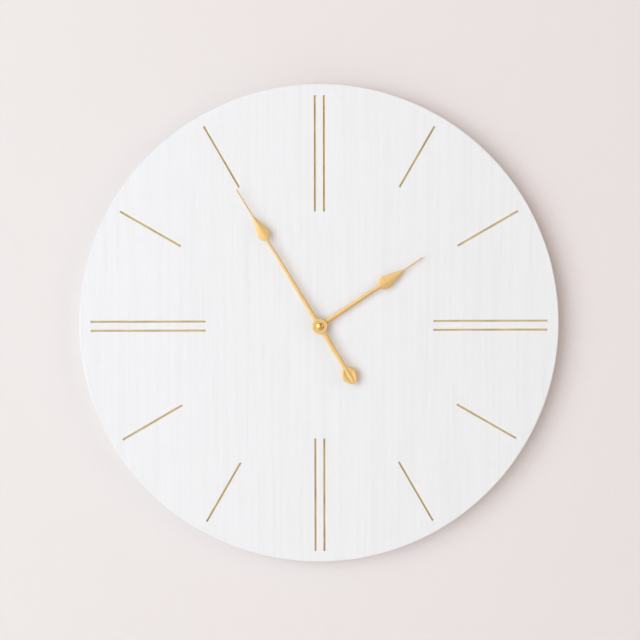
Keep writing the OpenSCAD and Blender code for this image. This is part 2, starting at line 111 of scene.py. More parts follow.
# Hands: angles clockwise from twelve, then stem widths at the hub and at the leaf, and the distances
# from the axis to a leaf's or weight's base, widest place and end
SHOWN_MINUTES = 114.8
HOUR_TRIM = -1
MINUTE_ANGLE = math.radians(6 * (SHOWN_MINUTES % 60))
HOUR_ANGLE = math.radians(SHOWN_MINUTES / 2 + HOUR_TRIM)
BOSS_R = 6.5
NEEDLE_W = 1.3
MINUTE_STEM = (3.8, 2.1)
MINUTE_LEAF = (84.2, 90, 106.5)
MINUTE_LEAF_W = 10.4
MINUTE_LENGTH = 132.5
HOUR_STEM = (3.8, 3.1)
HOUR_LEAF = (59.5, 66, 84.5)
HOUR_LEAF_W = 11.2
HOUR_LENGTH = 103.5
TAIL_STEM = (3.9, 3.6)
WEIGHT = (41.2, 47.8, 56.8)
WEIGHT_W = 13.2
BLADE_EDGE = 0.3
BLADE_CROWN = 0.55
BOSS_T = 1.1
MINUTE_HOLE_R = 2.9
HOUR_HOLE_R = 3.2

CASE_BACK, CASE_FRONT = depths("movement_housing")
CASE_HALF = 28
CASE_INNER_HALF = CASE_HALF - 1.5
CASE_CORNER_R = 2.6
COVER_FRONT = 2.2
COVER_FIELD = CASE_BACK + 0.3
BAY_FLOOR = CASE_FRONT - 0.7
PARTITION_Z = (-11.7, -10.9)
CELL_X = (-25.1, 24.4)
KNOB = middle("setting_knob")
HANGER_Z = middle("hanger_plate")[1]
HANGER_HALF_W = 23
HANGER_HALF_H = 11
HANGER_T = 1.5
HANGER_SCREW_X = 17


# ---- mesh helpers ----


def to_metres(x, z, depth):
    return (x * MM, -depth * MM, z * MM)


def add_object(name, data):
    """A new object in the scene."""
    obj = bpy.data.objects.new(name, data)
    bpy.context.scene.collection.objects.link(obj)
    return obj


def add_mesh(name, points, faces, material, sharp_degrees=35):
    """A closed mesh from (x, z, depth) points, with outward normals and smooth shading up to an angle."""
    mesh = bpy.data.meshes.new(name)
    mesh.from_pydata([to_metres(*p) for p in points], [], faces)
    work = bmesh.new()
    work.from_mesh(mesh)
    bmesh.ops.recalc_face_normals(work, faces=work.faces)
    work.to_mesh(mesh)
    work.free()
    obj = add_object(name, mesh)
    mesh.materials.append(material)
    smooth(obj, sharp_degrees)
    return obj


def smooth(obj, degrees=35):
    obj.data.polygons.foreach_set("use_smooth", [True] * len(obj.data.polygons))
    obj.data.set_sharp_from_angle(angle=math.radians(degrees))


def revolve(name, profile, spot, material, segments, sharp_degrees, ripple=None):
    """Revolves a closed loop of (radius, along) points. Points with radius 0 are poles.

    spot(along, a, b) puts a point at its place, a and b being its distances from the axis both ways.
    ripple(angle, radius) gives each ring's radius round the axis, for knurls."""
    points, rings = [], []
    for radius, along in profile:
        if radius < 1e-6:
            rings.append([len(points)] * segments)
            points.append(spot(along, 0, 0))
            continue
        rings.append(list(range(len(points), len(points) + segments)))
        for i in range(segments):
            angle = math.tau * i / segments
            r = ripple(angle, radius) if ripple else radius
            points.append(spot(along, r * math.cos(angle), r * math.sin(angle)))
    faces = []
    for a, b in zip(rings, rings[1:] + rings[:1]):
        for i in range(segments):
            j = (i + 1) % segments
            corners = [a[i], a[j], b[j], b[i]]
            face = [c for k, c in enumerate(corners) if c not in corners[:k]]
            if len(face) > 2:
                faces.append(face)
    return add_mesh(name, points, faces, material, sharp_degrees)


def lathe(name, profile, material, centre=(0, 0), segments=96, ripple=None, sharp_degrees=35):
    """Revolves (radius, depth) points about an axis along Y."""
    def spot(depth, a, b):
        return centre[0] + a, centre[1] + b, depth

    return revolve(name, profile, spot, material, segments, sharp_degrees, ripple)


def tube_faces(n):
    """Faces of a solid between two outlines of n points each."""
    ends = [list(range(n)), list(range(n, 2 * n))]
    return ends + [[i, (i + 1) % n, n + (i + 1) % n, n + i] for i in range(n)]


def prism(name, outline, depth, material):
    """Extrudes an outline of (x, z) points between two depths."""
    points = [(x, z, d) for d in depth for x, z in outline]
    return add_mesh(name, points, tube_faces(len(outline)), material)


def rectangle(x, z):
    return [(x[0], z[0]), (x[1], z[0]), (x[1], z[1]), (x[0], z[1])]


def arc(centre, radius, start, end, steps):
    """Points along an arc between two angles in degrees, both ends with it."""
    angles = [math.radians(start + (end - start) * i / steps) for i in range(steps + 1)]
    return [(centre[0] + radius * math.cos(a), centre[1] + radius * math.sin(a)) for a in angles]


def on_circle(centre, radius, degrees):
    """The point at an angle on a circle."""
    return arc(centre, radius, degrees, degrees, 1)[0]


def rounded(x, z, radius):
    """A rectangle with round corners."""
    steps = 6
    right, left, top, bottom = x[1] - radius, x[0] + radius, z[1] - radius, z[0] + radius
    corners = [(right, top, 0), (left, top, 90), (left, bottom, 180), (right, bottom, 270)]
    return [point for cx, cz, start in corners for point in arc((cx, cz), radius, start, start + 90, steps)]


def polar_frame(u, v, angle):
    """A point u outwards and v across, in a direction at an angle clockwise from twelve."""
    return v * math.cos(angle) + u * math.sin(angle), u * math.cos(angle) - v * math.sin(angle)


def circle(centre, radius, steps):
    return arc(centre, radius, 0, 360, steps)[:-1]


def apply_modifiers(obj):
    """Replaces the object's mesh by its evaluated one."""
    bpy.context.view_layer.update()
    evaluated = obj.evaluated_get(bpy.context.evaluated_depsgraph_get())
    mesh = bpy.data.meshes.new_from_object(evaluated)
    obj.modifiers.clear()
    obj.data = mesh


def boolean(obj, tools, operation="DIFFERENCE", sharp_degrees=35):
    """Cuts the tools from the object, or adds them to it, and removes the tools."""
    for tool in tools:
        modifier = obj.modifiers.new(operation, "BOOLEAN")
        modifier.operation = operation
        modifier.solver = "EXACT"
        modifier.object = tool
    apply_modifiers(obj)
    smooth(obj, sharp_degrees)
    for tool in tools:
        bpy.data.objects.remove(tool)


def flat_shading(obj):
    """Shades the corners of large flat faces with those faces' own normals."""
    obj.modifiers.new("flat_shading", "WEIGHTED_NORMAL").keep_sharp = True
    apply_modifiers(obj)


def bevel(obj, width):
    """Rounds the object's sharp edges by a width in millimetres, and keeps its flat faces flat in shading."""
    modifier = obj.modifiers.new("bevel", "BEVEL")
    modifier.width = width * MM
    modifier.segments = 2
    modifier.limit_method = "ANGLE"
    modifier.angle_limit = math.radians(40)
    apply_modifiers(obj)
    smooth(obj)
    flat_shading(obj)


def place(obj, body, slot, *nodes):
    """Rides the piece on a body and lets it stand for CAD nodes, which it hides. The slot argument is not
    used.
    """
    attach(obj, body)
    if nodes:
        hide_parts(*nodes)


# ---- material helpers ----


class Finish:
    """A Principled material whose colour, roughness and relief come from layered procedural textures."""

    def __init__(self, name, colour, roughness, metallic=0.0, **sockets):
        self.material = bpy.data.materials.new(name)
        self.material.use_nodes = True
        self.tree = self.material.node_tree
        self.shader = self.tree.nodes["Principled BSDF"]
        self.shader.inputs["Base Color"].default_value = (*colour, 1)
        self.shader.inputs["Roughness"].default_value = roughness
        self.shader.inputs["Metallic"].default_value = metallic
        for socket, value in sockets.items():
            self.shader.inputs[socket.replace("_", " ")].default_value = value
        self.place = self.tree.nodes.new("ShaderNodeTexCoord").outputs["Object"]
        self.colour = (*colour, 1)
        self.normal = None

    def node(self, kind, inputs, **settings):
        made = self.tree.nodes.new(kind)
        for setting, value in settings.items():
            setattr(made, setting, value)
        for key, value in inputs.items():
            if isinstance(value, bpy.types.NodeSocket):
                self.tree.links.new(value, made.inputs[key])
            else:
                made.inputs[key].default_value = value
        return made

    def stretched(self, scale, turn=(0, 0, 0)):
        """Object coordinates turned, then scaled to repeats per millimetre, all round or along each axis."""
        per_metre = [s / MM for s in (scale if isinstance(scale, tuple) else (scale,) * 3)]
        turned = self.node("ShaderNodeMapping", {"Vector": self.place, "Rotation": turn}).outputs["Vector"]
        return self.node("ShaderNodeMapping", {"Vector": turned, "Scale": per_metre}).outputs["Vector"]

    def noise(self, scale, detail=4.0, rough=0.55, turn=(0, 0, 0), distortion=0.0):
        inputs = {"Vector": self.stretched(scale, turn), "Scale": 1.0, "Detail": detail,
                  "Roughness": rough, "Distortion": distortion}
        return self.node("ShaderNodeTexNoise", inputs).outputs["Fac"]

    def cells(self, scale):
        inputs = {"Vector": self.stretched(scale), "Scale": 1.0}
        return self.node("ShaderNodeTexVoronoi", inputs).outputs["Distance"]

    def ramp(self, value, low, high, start, end):
        """Maps value from low..high to start..end, clamped."""
        inputs = {"Value": value, "From Min": low, "From Max": high, "To Min": start, "To Max": end}
        return self.node("ShaderNodeMapRange", inputs).outputs["Result"]

    def tint(self, value, low, high, amount, colour):
        """Blends the colour so far towards another, by up to an amount as a value goes from low to high."""
        before, after, result = 6, 7, 2
        factor = self.ramp(value, low, high, 0, amount)
        inputs = {"Factor": factor, before: self.colour, after: (*colour, 1)}
        self.colour = self.node("ShaderNodeMix", inputs, data_type="RGBA").outputs[result]
        self.tree.links.new(self.colour, self.shader.inputs["Base Color"])

    def rough(self, value):
        self.tree.links.new(value, self.shader.inputs["Roughness"])

    def bump(self, height, millimetres):
        """Relief of a given height for values from 0 to 1, on top of the relief so far."""
        inputs = {"Height": height, "Distance": millimetres * MM, "Strength": 1.0}
        if self.normal is not None:
            inputs["Normal"] = self.normal
        self.normal = self.node("ShaderNodeBump", inputs).outputs["Normal"]
        self.tree.links.new(self.normal, self.shader.inputs["Normal"])


def painted_wood(name, colour, grain_strength):
    """Matt white paint on open-grained wood: faint upright bands, short pores and a brushed skin."""
    f = Finish(name, colour, 0.62, Specular_IOR_Level=0.3)
    bands = f.noise((0.22, 0.22, 0.0055), detail=5, rough=0.6, distortion=0.25)
    streaks = f.noise((0.75, 0.75, 0.012), detail=4, rough=0.65)
    pores = f.noise((3.2, 3.2, 0.11), detail=2, rough=0.5)
    darker = tuple(c * t for c, t in zip(colour, (0.93, 0.925, 0.92)))
    f.tint(bands, 0.42, 0.72, 0.55 * grain_strength, darker)
    f.tint(streaks, 0.52, 0.74, 0.75 * grain_strength, darker)
    f.tint(pores, 0.6, 0.74, 0.6 * grain_strength, tuple(c * 0.88 for c in colour))
    f.rough(f.ramp(streaks, 0.3, 0.7, 0.56, 0.7))
    f.bump(bands, 0.05)
    f.bump(streaks, 0.03)
    f.bump(f.ramp(pores, 0.52, 0.72, 1, 0), 0.04)
    f.bump(f.noise(1.6, detail=3), 0.012)
    return f.material


def painted_edge():
    """Matt paint on the board's sanded side, greyer than the face's as painted shade: it bounces less light
    onto the wall beside the disc and leaves that wall darker. Orange peel, soft fibres and darker patches.
    """
    # painted shade: the side's grey base colour stands in for a darker wall beside the disc, by bouncing less
    # light onto it
    f = Finish("side_paint", (0.7, 0.695, 0.695), 0.62, Specular_IOR_Level=0.3)
    patches = f.noise((0.04, 0.15, 0.04), detail=4, rough=0.6)
    fibres = f.noise((0.35, 0.9, 0.35), detail=4, rough=0.6, distortion=0.3)
    peel = f.noise(0.7, detail=2)
    f.tint(patches, 0.42, 0.7, 0.45, (0.65, 0.643, 0.64))
    f.tint(fibres, 0.5, 0.74, 0.5, (0.64, 0.633, 0.63))
    f.rough(f.ramp(fibres, 0.3, 0.7, 0.56, 0.7))
    f.bump(patches, 0.05)
    f.bump(peel, 0.01)
    f.bump(fibres, 0.008)
    return f.material


def fibreboard():
    """Raw fibreboard: warm tan with short fibres, darker scorched flecks and a fuzzy cut surface."""
    f = Finish("fibreboard", (0.62, 0.41, 0.17), 0.85, Specular_IOR_Level=0.2)
    fibres = f.noise(2.4, detail=8, rough=0.75)
    flecks = f.cells(1.3)
    f.tint(fibres, 0.35, 0.7, 0.8, (0.74, 0.53, 0.26))
    f.tint(flecks, 0.28, 0.0, 0.45, (0.36, 0.21, 0.08))
    f.tint(f.noise(0.05, detail=3), 0.4, 0.7, 0.4, (0.5, 0.32, 0.13))
    f.bump(fibres, 0.12)
    return f.material


def groove_paint():
    """Tan stain brushed into the grooves over the board's fibres."""
    f = Finish("groove_tan", (0.74, 0.59, 0.27), 0.75, Specular_IOR_Level=0.25)
    fibres = f.noise(2.4, detail=8, rough=0.75)
    patches = f.noise(0.06, detail=3)
    f.tint(fibres, 0.35, 0.7, 0.6, (0.86, 0.73, 0.38))
    f.tint(patches, 0.42, 0.68, 0.5, (0.51, 0.39, 0.2))
    f.bump(fibres, 0.1)
    return f.material


def gold(name, colour, roughness, turn=(0, 0, 0), metallic=1.0):
    """Matt gold plating: a fine brushed grain along the hand, soft blotches of tone and small dull specks."""
    f = Finish(name, colour, roughness, metallic)
    grain = f.noise((6.0, 6.0, 0.16), detail=4, rough=0.7, turn=turn)
    blotch = f.noise(0.16, detail=4, rough=0.6)
    specks = f.cells(0.9)
    f.tint(blotch, 0.38, 0.68, 0.5, tuple(c * t for c, t in zip(colour, (0.94, 0.88, 0.8))))
    f.tint(grain, 0.45, 0.75, 0.3, tuple(min(1, c * 1.07) for c in colour))
    f.tint(specks, 0.1, 0.0, 0.4, tuple(c * 0.65 for c in colour))
    f.rough(f.ramp(grain, 0.3, 0.75, roughness - 0.06, roughness + 0.08))
    f.bump(grain, 0.012)
    f.bump(blotch, 0.03)
    return f.material


def plated(name, colour, roughness, turn=(0, 0, 0)):
    """Plated steel or brass: drawn grain, cloudy plating and fine scuffs."""
    f = Finish(name, colour, roughness, metallic=1.0)
    grain = f.noise((7.0, 7.0, 0.3), detail=3, rough=0.6, turn=turn)
    clouds = f.noise(0.35, detail=5, rough=0.65)
    scuffs = f.noise((0.4, 9.0, 9.0), detail=2, turn=(0, math.radians(35), 0))
    f.tint(clouds, 0.35, 0.7, 0.55, tuple(c * 0.78 for c in colour))
    f.tint(scuffs, 0.64, 0.72, 0.4, tuple(min(1, c * 1.15) for c in colour))
    f.rough(f.ramp(clouds, 0.3, 0.7, roughness - 0.06, roughness + 0.14))
    f.bump(grain, 0.01)
    f.bump(clouds, 0.02)
    return f.material


def moulded(name, colour, roughness, texture_mm=0.02):
    """Moulded plastic: spark-eroded mould texture, faint flow marks and a patchy dusting."""
    wear = 0.25
    f = Finish(name, colour, roughness, Specular_IOR_Level=0.45)
    texture = f.noise(4.5, detail=3, rough=0.6)
    flow = f.noise((0.12, 0.12, 0.03), detail=4, distortion=1.2)
    dust = f.noise(0.9, detail=6, rough=0.75)
    lighter = tuple(min(1, c * 1.25 + 0.02 * wear) for c in colour)
    f.tint(flow, 0.4, 0.7, 0.45, lighter)
    f.tint(dust, 0.55, 0.75, wear, tuple(min(1, c + 0.05) for c in colour))
    f.rough(f.ramp(texture, 0.3, 0.7, roughness - 0.08, roughness + 0.08))
    f.bump(texture, texture_mm)
    f.bump(flow, 0.03)
    return f.material


def copper_wire():
    """Enamelled wire wound round the X axis: close turns of a hair-thin wire, with painted shade in the gaps
    between the turns.
    """
    f = Finish("copper_wire", (0.52, 0.2, 0.06), 0.28, metallic=0.85, Coat_Weight=0.5)
    inputs = {"Vector": f.stretched(1), "Scale": 1.6, "Distortion": 0.3}
    turns = f.node("ShaderNodeTexWave", inputs, wave_type="BANDS", bands_direction="X").outputs["Fac"]
    layers = f.noise((0.5, 0.8, 0.8), detail=3)
    # painted shade: the colour darkens in the low gaps between the turns, where shade falls between the round
    # wires
    f.tint(turns, 0.5, 0.0, 0.6, (0.2, 0.06, 0.02))
    f.tint(layers, 0.4, 0.7, 0.5, (0.65, 0.3, 0.1))
    f.bump(turns, 0.05)
    return f.material


def circuit():
    """Green solder mask over copper tracks."""
    f = Finish("circuit_board", (0.015, 0.12, 0.045), 0.35, Coat_Weight=0.3)
    inputs = {"Vector": f.stretched(0.55), "Scale": 1.0, "Mortar Size": 0.06}
    tracks = f.node("ShaderNodeTexBrick", inputs).outputs["Fac"]
    weave = f.noise(5, detail=2)
    f.tint(tracks, 0.4, 0.6, 1, (0.03, 0.22, 0.08))
    f.tint(weave, 0.55, 0.75, 0.4, (0.01, 0.08, 0.03))
    f.bump(tracks, 0.03)
    f.bump(weave, 0.005)
    return f.material


def rubber():
    f = Finish("rubber", (0.028, 0.028, 0.028), 0.8, Specular_IOR_Level=0.3)
    skin = f.noise(2.2, detail=5, rough=0.7)
    f.tint(skin, 0.45, 0.75, 0.6, (0.06, 0.058, 0.055))
    f.bump(skin, 0.03)
    return f.material


def battery_film():
    """Plain shrink film on the cell: a copper band and a dark green band, with the film's faint ripples."""
    copper, green = (0.42, 0.19, 0.075), (0.012, 0.075, 0.06)
    band_end, edge = -9.6, 0.2
    f = Finish("battery_film", copper, 0.22, Coat_Weight=0.6, Coat_Roughness=0.12)
    along = f.node("ShaderNodeSeparateXYZ", {"Vector": f.place}).outputs["X"]
    ripple = f.noise((0.25, 0.9, 0.9), detail=3)
    scuff = f.noise((0.5, 6, 6), detail=3)
    f.tint(along, (band_end - edge) * MM, (band_end + edge) * MM, 1, green)
    f.tint(scuff, 0.62, 0.75, 0.35, (0.4, 0.4, 0.38))
    f.rough(f.ramp(ripple, 0.3, 0.7, 0.16, 0.3))
    f.bump(ripple, 0.03)
    return f.material


HAND_GOLD = (0.84, 0.58, 0.245)
paint = painted_wood("white_paint", (0.87, 0.861, 0.856), 0.78)
side_paint = painted_edge()
back_paint = painted_wood("back_paint", (0.83, 0.815, 0.79), 1.3)
raw_board = fibreboard()
groove_tan = groove_paint()
minute_gold = gold("minute_gold", HAND_GOLD, 0.56, (0, -MINUTE_ANGLE, 0), 0.8)
hour_gold = gold("hour_gold", HAND_GOLD, 0.56, (0, -HOUR_ANGLE, 0), 0.8)
nut_gold = gold("nut_gold", (0.92, 0.65, 0.22), 0.24)
brass = plated("brass", (0.8, 0.56, 0.24), 0.3)
zinc = plated("zinc", (0.66, 0.67, 0.69), 0.34, (0, math.radians(90), 0))
nickel = plated("nickel", (0.7, 0.68, 0.63), 0.28)
screw_steel = plated("screw_steel", (0.78, 0.6, 0.27), 0.32)
black_plastic = moulded("black_plastic", (0.018, 0.018, 0.019), 0.5)
grey_plastic = moulded("grey_plastic", (0.36, 0.36, 0.37), 0.5)
ivory_plastic = moulded("ivory_plastic", (0.78, 0.74, 0.62), 0.38, 0.01)
white_plastic = moulded("white_plastic", (0.74, 0.73, 0.71), 0.42)
epoxy = moulded("epoxy", (0.012, 0.012, 0.012), 0.18, 0.03)
magnet = moulded("magnet", (0.07, 0.07, 0.075), 0.4, 0.03)
wire = copper_wire()
board_green = circuit()
soft_rubber = rubber()
film = battery_film()


# ---- camera, lights and backdrop ----


def aim(obj, position, target, roll=0.0):
    obj.location = position
    look = (Vector(target) - Vector(position)).to_track_quat("-Z", "Y")
    obj.rotation_euler = (look.to_matrix() @ Matrix.Rotation(roll, 3, "Z")).to_euler()


def from_angles(azimuth, elevation, distance):
    """Offset from a target to a place seen at these angles; azimuth 0 is straight in front."""
    a, e = math.radians(azimuth), math.radians(elevation)
    return Vector((math.sin(a) * math.cos(e), -math.cos(a) * math.cos(e), math.sin(e))) * distance


def make_camera():
    """A little above the clock and a touch to its left, looking at its middle."""
    data = bpy.data.cameras.new("camera")
    data.sensor_width = 36
    data.lens = 74.2
    camera = add_object("camera", data)
    target = Vector((0.0002, -FACE * MM, 0.0048))
    aim(camera, target + from_angles(-0.95, 4.0, 1.1), target, math.radians(-0.09))
    bpy.context.scene.camera = camera


def area_light(name, azimuth, elevation, distance, size, watts, colour):
    data = bpy.data.lights.new(name, "AREA")
    data.shape = "DISK"
    data.size = size
    data.energy = watts
    data.color = colour
    light = add_object(name, data)
    aim(light, from_angles(azimuth, elevation, distance), (0, 0, 0))
    return light


def make_lights():
    """Soft daylight from the left with weaker fills round it."""
    area_light("key", -38, 8, 3.8, 3.4, 99, (0.725, 0.89, 0.99))
    area_light("front", -22, 5, 3.8, 2.4, 18.5, (1.0, 0.75, 0.8))
    area_light("fill", 50, 10, 4.2, 2.6, 25, (1.0, 0.92, 0.92))
    area_light("high", -35, 42, 4.2, 2.6, 12, (1.0, 0.8, 0.78))
    area_light("low", -40, -22, 4.2, 2.6, 8, (0.85, 1.0, 0.9))
    world = bpy.data.worlds.new("studio")
    world.use_nodes = True
    background = world.node_tree.nodes["Background"]
    background.inputs["Color"].default_value = (1.0, 0.905, 0.8, 1)
    background.inputs["Strength"].default_value = 0.35
    bpy.context.scene.world = world
    bpy.context.scene.view_settings.view_transform = "Standard"


def light_the_back():
    """Light from behind the wall for all pieces but the core, whose side the wall hides from it."""
    light = area_light("behind", 184, 32, 3.0, 2.0, 58, (1.0, 0.99, 0.97))
    lit = bpy.data.collections.new("lit_from_behind")
    for obj in bpy.context.scene.objects:
        if obj.type == "MESH" and obj.name != "core_board":
            lit.objects.link(obj)
    light.light_linking.receiver_collection = lit


def stage_object(name, points, faces, material):
    """An open sheet from (x, z, depth) points that belongs to the setting and not to the clock."""
    mesh = bpy.data.meshes.new(name)
    mesh.from_pydata([to_metres(*p) for p in points], [], faces)
    mesh.materials.append(material)
    return add_object(name, mesh)


def make_wall(material):
    """The wall just behind the clock, open where the clock hides it, so that its back gets light."""
    depth, outer_r, steps = -0.4, 2500, 256
    rings = circle((0, 0), PANEL_R, steps) + circle((0, 0), outer_r, steps)
    faces = [[steps + i, steps + (i + 1) % steps, (i + 1) % steps, i] for i in range(steps)]
    return stage_object("wall", [(x, z, depth) for x, z in rings], faces, material)


def make_floor(material):
    """A square floor well below the clock."""
    half, low = 4000, -1600
    corners = [(-half, low, half), (half, low, half), (half, low, -half), (-half, low, -half)]
    return stage_object("floor", corners, [[0, 1, 2, 3]], material)


def make_backdrop():
    """A pale wall that shows only from the front, so that the clock's back can be seen, and a floor."""
    f = Finish("pale_wall", (0.829, 0.77, 0.748), 0.9, Specular_IOR_Level=0.1)
    plaster = f.noise(0.3, detail=5)
    f.tint(plaster, 0.4, 0.7, 0.3, (0.809, 0.75, 0.728))
    f.bump(plaster, 0.05)
    from_behind = f.tree.nodes.new("ShaderNodeNewGeometry").outputs["Backfacing"]
    clear = f.tree.nodes.new("ShaderNodeBsdfTransparent").outputs["BSDF"]
    two_sided = f.node("ShaderNodeMixShader", {0: from_behind, 1: f.shader.outputs["BSDF"], 2: clear})
    f.tree.links.new(two_sided.outputs["Shader"], f.tree.nodes["Material Output"].inputs["Surface"])
    ground = Finish("pale_floor", (0.8, 0.78, 0.77), 0.8)
    ground.tint(ground.noise(0.02), 0.4, 0.7, 0.3, (0.76, 0.745, 0.735))
    make_wall(f.material)
    make_floor(ground.material)


# ---- panel ----


def rim(depth):
    """Radius of the panel's side at a depth, following the rounding of its front edge."""
    t = max(0.0, EDGE_R - (FACE - depth))
    return PANEL_R - EDGE_R + math.sqrt(EDGE_R ** 2 - t ** 2)


def panel_slab(name, depth, material, side_steps=0):
    """A disc between two depths, its side following the rim in steps. With none, it thins to an edge."""
    steps = [depth[0] + (depth[1] - depth[0]) * i / max(1, side_steps) for i in range(side_steps + 1)]
    side = [(rim(d), d) for d in steps]
    return lathe(name, [(0, depth[0]), *side, (0, depth[1])], material, segments=720, sharp_degrees=30)


def groove_cutter(inner, outer, offset, hour, bottom, lip):
    """A bar that cuts one hour line, widening by a small lip at the face."""
    half = GROOVE_W / 2
    section = [(-half, bottom), (half, bottom), (half, FACE - lip), (half + lip + 0.5, FACE + 0.5),
               (-half - lip - 0.5, FACE + 0.5), (-half, FACE - lip)]
    angle = math.radians(30 * hour)
    points = [(*polar_frame(u, v + offset, angle), depth) for u in (inner, outer) for v, depth in section]
    return add_mesh("groove", points, tube_faces(len(section)), raw_board)


def groove_cutters(bottom, lip):
    cutters = []
    for hour in range(12):
        paired = hour % 3 == 0
        inner = DOUBLE_INNER_R if paired else SINGLE_INNER_R
        for offset in (-DOUBLE_GAP / 2, DOUBLE_GAP / 2) if paired else (0,):
            cutters.append(groove_cutter(inner, MARK_OUTER_R, offset, hour, bottom, lip))
    return cutters


def joined(objects):
    """One object holding the meshes of several that don't touch."""
    work = bmesh.new()
    for obj in objects:
        work.from_mesh(obj.data)
    work.to_mesh(objects[0].data)
    work.free()
    for obj in objects[1:]:
        bpy.data.objects.remove(obj)
    return objects[0]


def dress(obj, materials, choose):
    """Gives each face the material whose index choose(centre, normal) returns, its centre in millimetres."""
    obj.data.materials.clear()
    for material in materials:
        obj.data.materials.append(material)
    for face in obj.data.polygons:
        face.material_index = choose(face.center / MM, face.normal)
    flat_shading(obj)


def in_rim(centre):
    """Whether a place is in the outermost 3 mm of the panel."""
    return math.hypot(centre.x, centre.z) > PANEL_R - 3


def core_part(centre, normal):
    """Index of the core's material: painted side, stained grooves or bare board."""
    if in_rim(centre):
        return 1 if abs(normal.y) < 0.5 else 0
    deep = -centre.y < FACE - GROOVE_DEPTH - 0.1
    near_middle = math.hypot(centre.x, centre.z) < DOUBLE_INNER_R - 5
    return 0 if deep or near_middle else 2


def skin_part(centre, normal):
    """Index of a veneer's material: 0 on its painted faces and round the rim, 1 where it is cut."""
    return int(abs(normal.y) < 0.5 and not in_rim(centre))


def pocket_outline():
    return rounded((-POCKET_HALF, POCKET_HALF), (-POCKET_HALF, POCKET_HALF), 3)


def make_front_face():
    face = panel_slab("front_face", (CORE_FRONT, FACE), paint, side_steps=6)
    centre_hole = prism("hole", circle((0, 0), CENTRE_HOLE_R, 64), (CORE_FRONT - 1, FACE + 1), raw_board)
    cutters = groove_cutters(CORE_FRONT - 0.5, 0.15)
    boolean(face, [joined(cutters + [centre_hole])], sharp_degrees=30)
    dress(face, (paint, groove_tan), skin_part)
    place(face, "root", "white_veneer", "front_veneer")


def make_core():
    """The board with its grooves, movement pocket, shaft hole, hanger recess, cavity and pilot holes."""
    core = panel_slab("core_board", (CORE_BACK, CORE_FRONT), paint, side_steps=24)
    cavity = rounded((-5.5, 5.5), (HANGER_Z - 9.5, HANGER_Z + 10), 5)
    tools = [joined(groove_cutters(FACE - GROOVE_DEPTH, 0.0)),
             prism("pocket", pocket_outline(), (-1, POCKET_DEPTH), raw_board),
             prism("hole", circle((0, 0), CENTRE_HOLE_R, 64), (1, FACE), raw_board),
             prism("recess", hanger_outline(0.05), (-1, HANGER_T), raw_board),
             prism("cavity", cavity, (-1, 9), raw_board)]
    for x in (-HANGER_SCREW_X, HANGER_SCREW_X):
        tools.append(prism("pilot", circle((x, HANGER_Z), 1.25, 24), (1, 12), raw_board))
    boolean(core, tools, sharp_degrees=30)
    dress(core, (raw_board, side_paint, groove_tan), core_part)
    place(core, "root", "fibreboard", "dial_core")


def make_back_face():
    """The back veneer, flat behind and thinner towards the rim."""
    back = panel_slab("back_face", (0, CORE_BACK), back_paint)
    tools = [prism("pocket", pocket_outline(), (-1, 2), raw_board),
             prism("recess", hanger_outline(0.05), (-1, 2), raw_board)]
    boolean(back, tools, sharp_degrees=30)
    dress(back, (back_paint, raw_board), skin_part)
    place(back, "root", "back_veneer", "back_veneer")


# ---- hanger ----


def hanger_outline(grow=0.0):
    x, z = HANGER_HALF_W + grow, HANGER_HALF_H + grow
    return rounded((-x, x), (HANGER_Z - z, HANGER_Z + z), 2.4)


def keyhole():
    """Outline of the round entry with its slot above."""
    entry_r, slot = 4.75, 2.3
    entry, top = (0, HANGER_Z - 4), (0, HANGER_Z + 5)
    mouth = math.degrees(math.asin(slot / entry_r))
    return arc(entry, entry_r, 90 + mouth, 450 - mouth, 40) + arc(top, slot, 0, 180, 16)


def make_hanger():
    plate = prism("keyhole_plate", hanger_outline(), (0, HANGER_T), zinc)
    sink = [(0, -0.5), (3.3, -0.5), (2.75, 0), (1.3, 1.45), (1.3, 3), (0, 3)]
    tools = [prism("keyhole", keyhole(), (-1, 3), zinc)]
    for x in (-HANGER_SCREW_X, HANGER_SCREW_X):
        tools.append(lathe("sink", sink, zinc, (x, HANGER_Z), 48))
    boolean(plate, tools)
    bevel(plate, 0.22)
    place(plate, "root", "zinc_steel", "hanger_plate")
    make_hanger_screw("left", -HANGER_SCREW_X, 20, "hanger_screws")
    make_hanger_screw("right", HANGER_SCREW_X, 65)


def make_hanger_screw(side, x, turn_degrees, *nodes):
    """Countersunk wood screw with a cross recess turned to the angle that it was driven to."""
    root_r, thread_r, pitch, start, tip = 0.95, 1.25, 1, 3.2, 12
    profile = [(0, 0.05), (2.3, 0.05), (2.62, 0.12), (2.7, 0.2), (thread_r, HANGER_T), (thread_r, 3)]
    for i in range(8):
        depth = start + pitch * i
        profile += [(root_r, depth), (thread_r, depth + 0.35), (root_r, depth + 0.7)]
    profile.append((0, tip))
    screw = lathe("hanger_screw_" + side, profile, screw_steel, (x, HANGER_Z), 48)
    half_length, half_width = 1.45, 0.3
    blade = rectangle((-half_length, half_length), (-half_width, half_width))
    arms = []
    for quarter_turn in (0, math.pi / 2):
        angle = math.radians(turn_degrees) + quarter_turn
        c, s = math.cos(angle), math.sin(angle)
        outline = [(x + a * c - b * s, HANGER_Z + a * s + b * c) for a, b in blade]
        arms.append(prism("recess", outline, (-1, 1.0), screw_steel))
    boolean(screw, arms)
    place(screw, "root", "brass_screw", *nodes)


# ---- hands ----


def swell(u, places, width, stem_w):
    """Half width where a leaf or weight swells from its stem, round a quarter ellipse."""
    base, widest, _ = places
    return stem_w / 2 + (width - stem_w) / 2 * math.sqrt(1 - ((widest - u) / (widest - base)) ** 2)


def leaf_half(u, places, width):
    """Half width where a leaf runs down from its widest place to the needle."""
    _, widest, end = places
    return NEEDLE_W / 2 + (width - NEEDLE_W) / 2 * (1 - (u - widest) / (end - widest)) ** 1.05


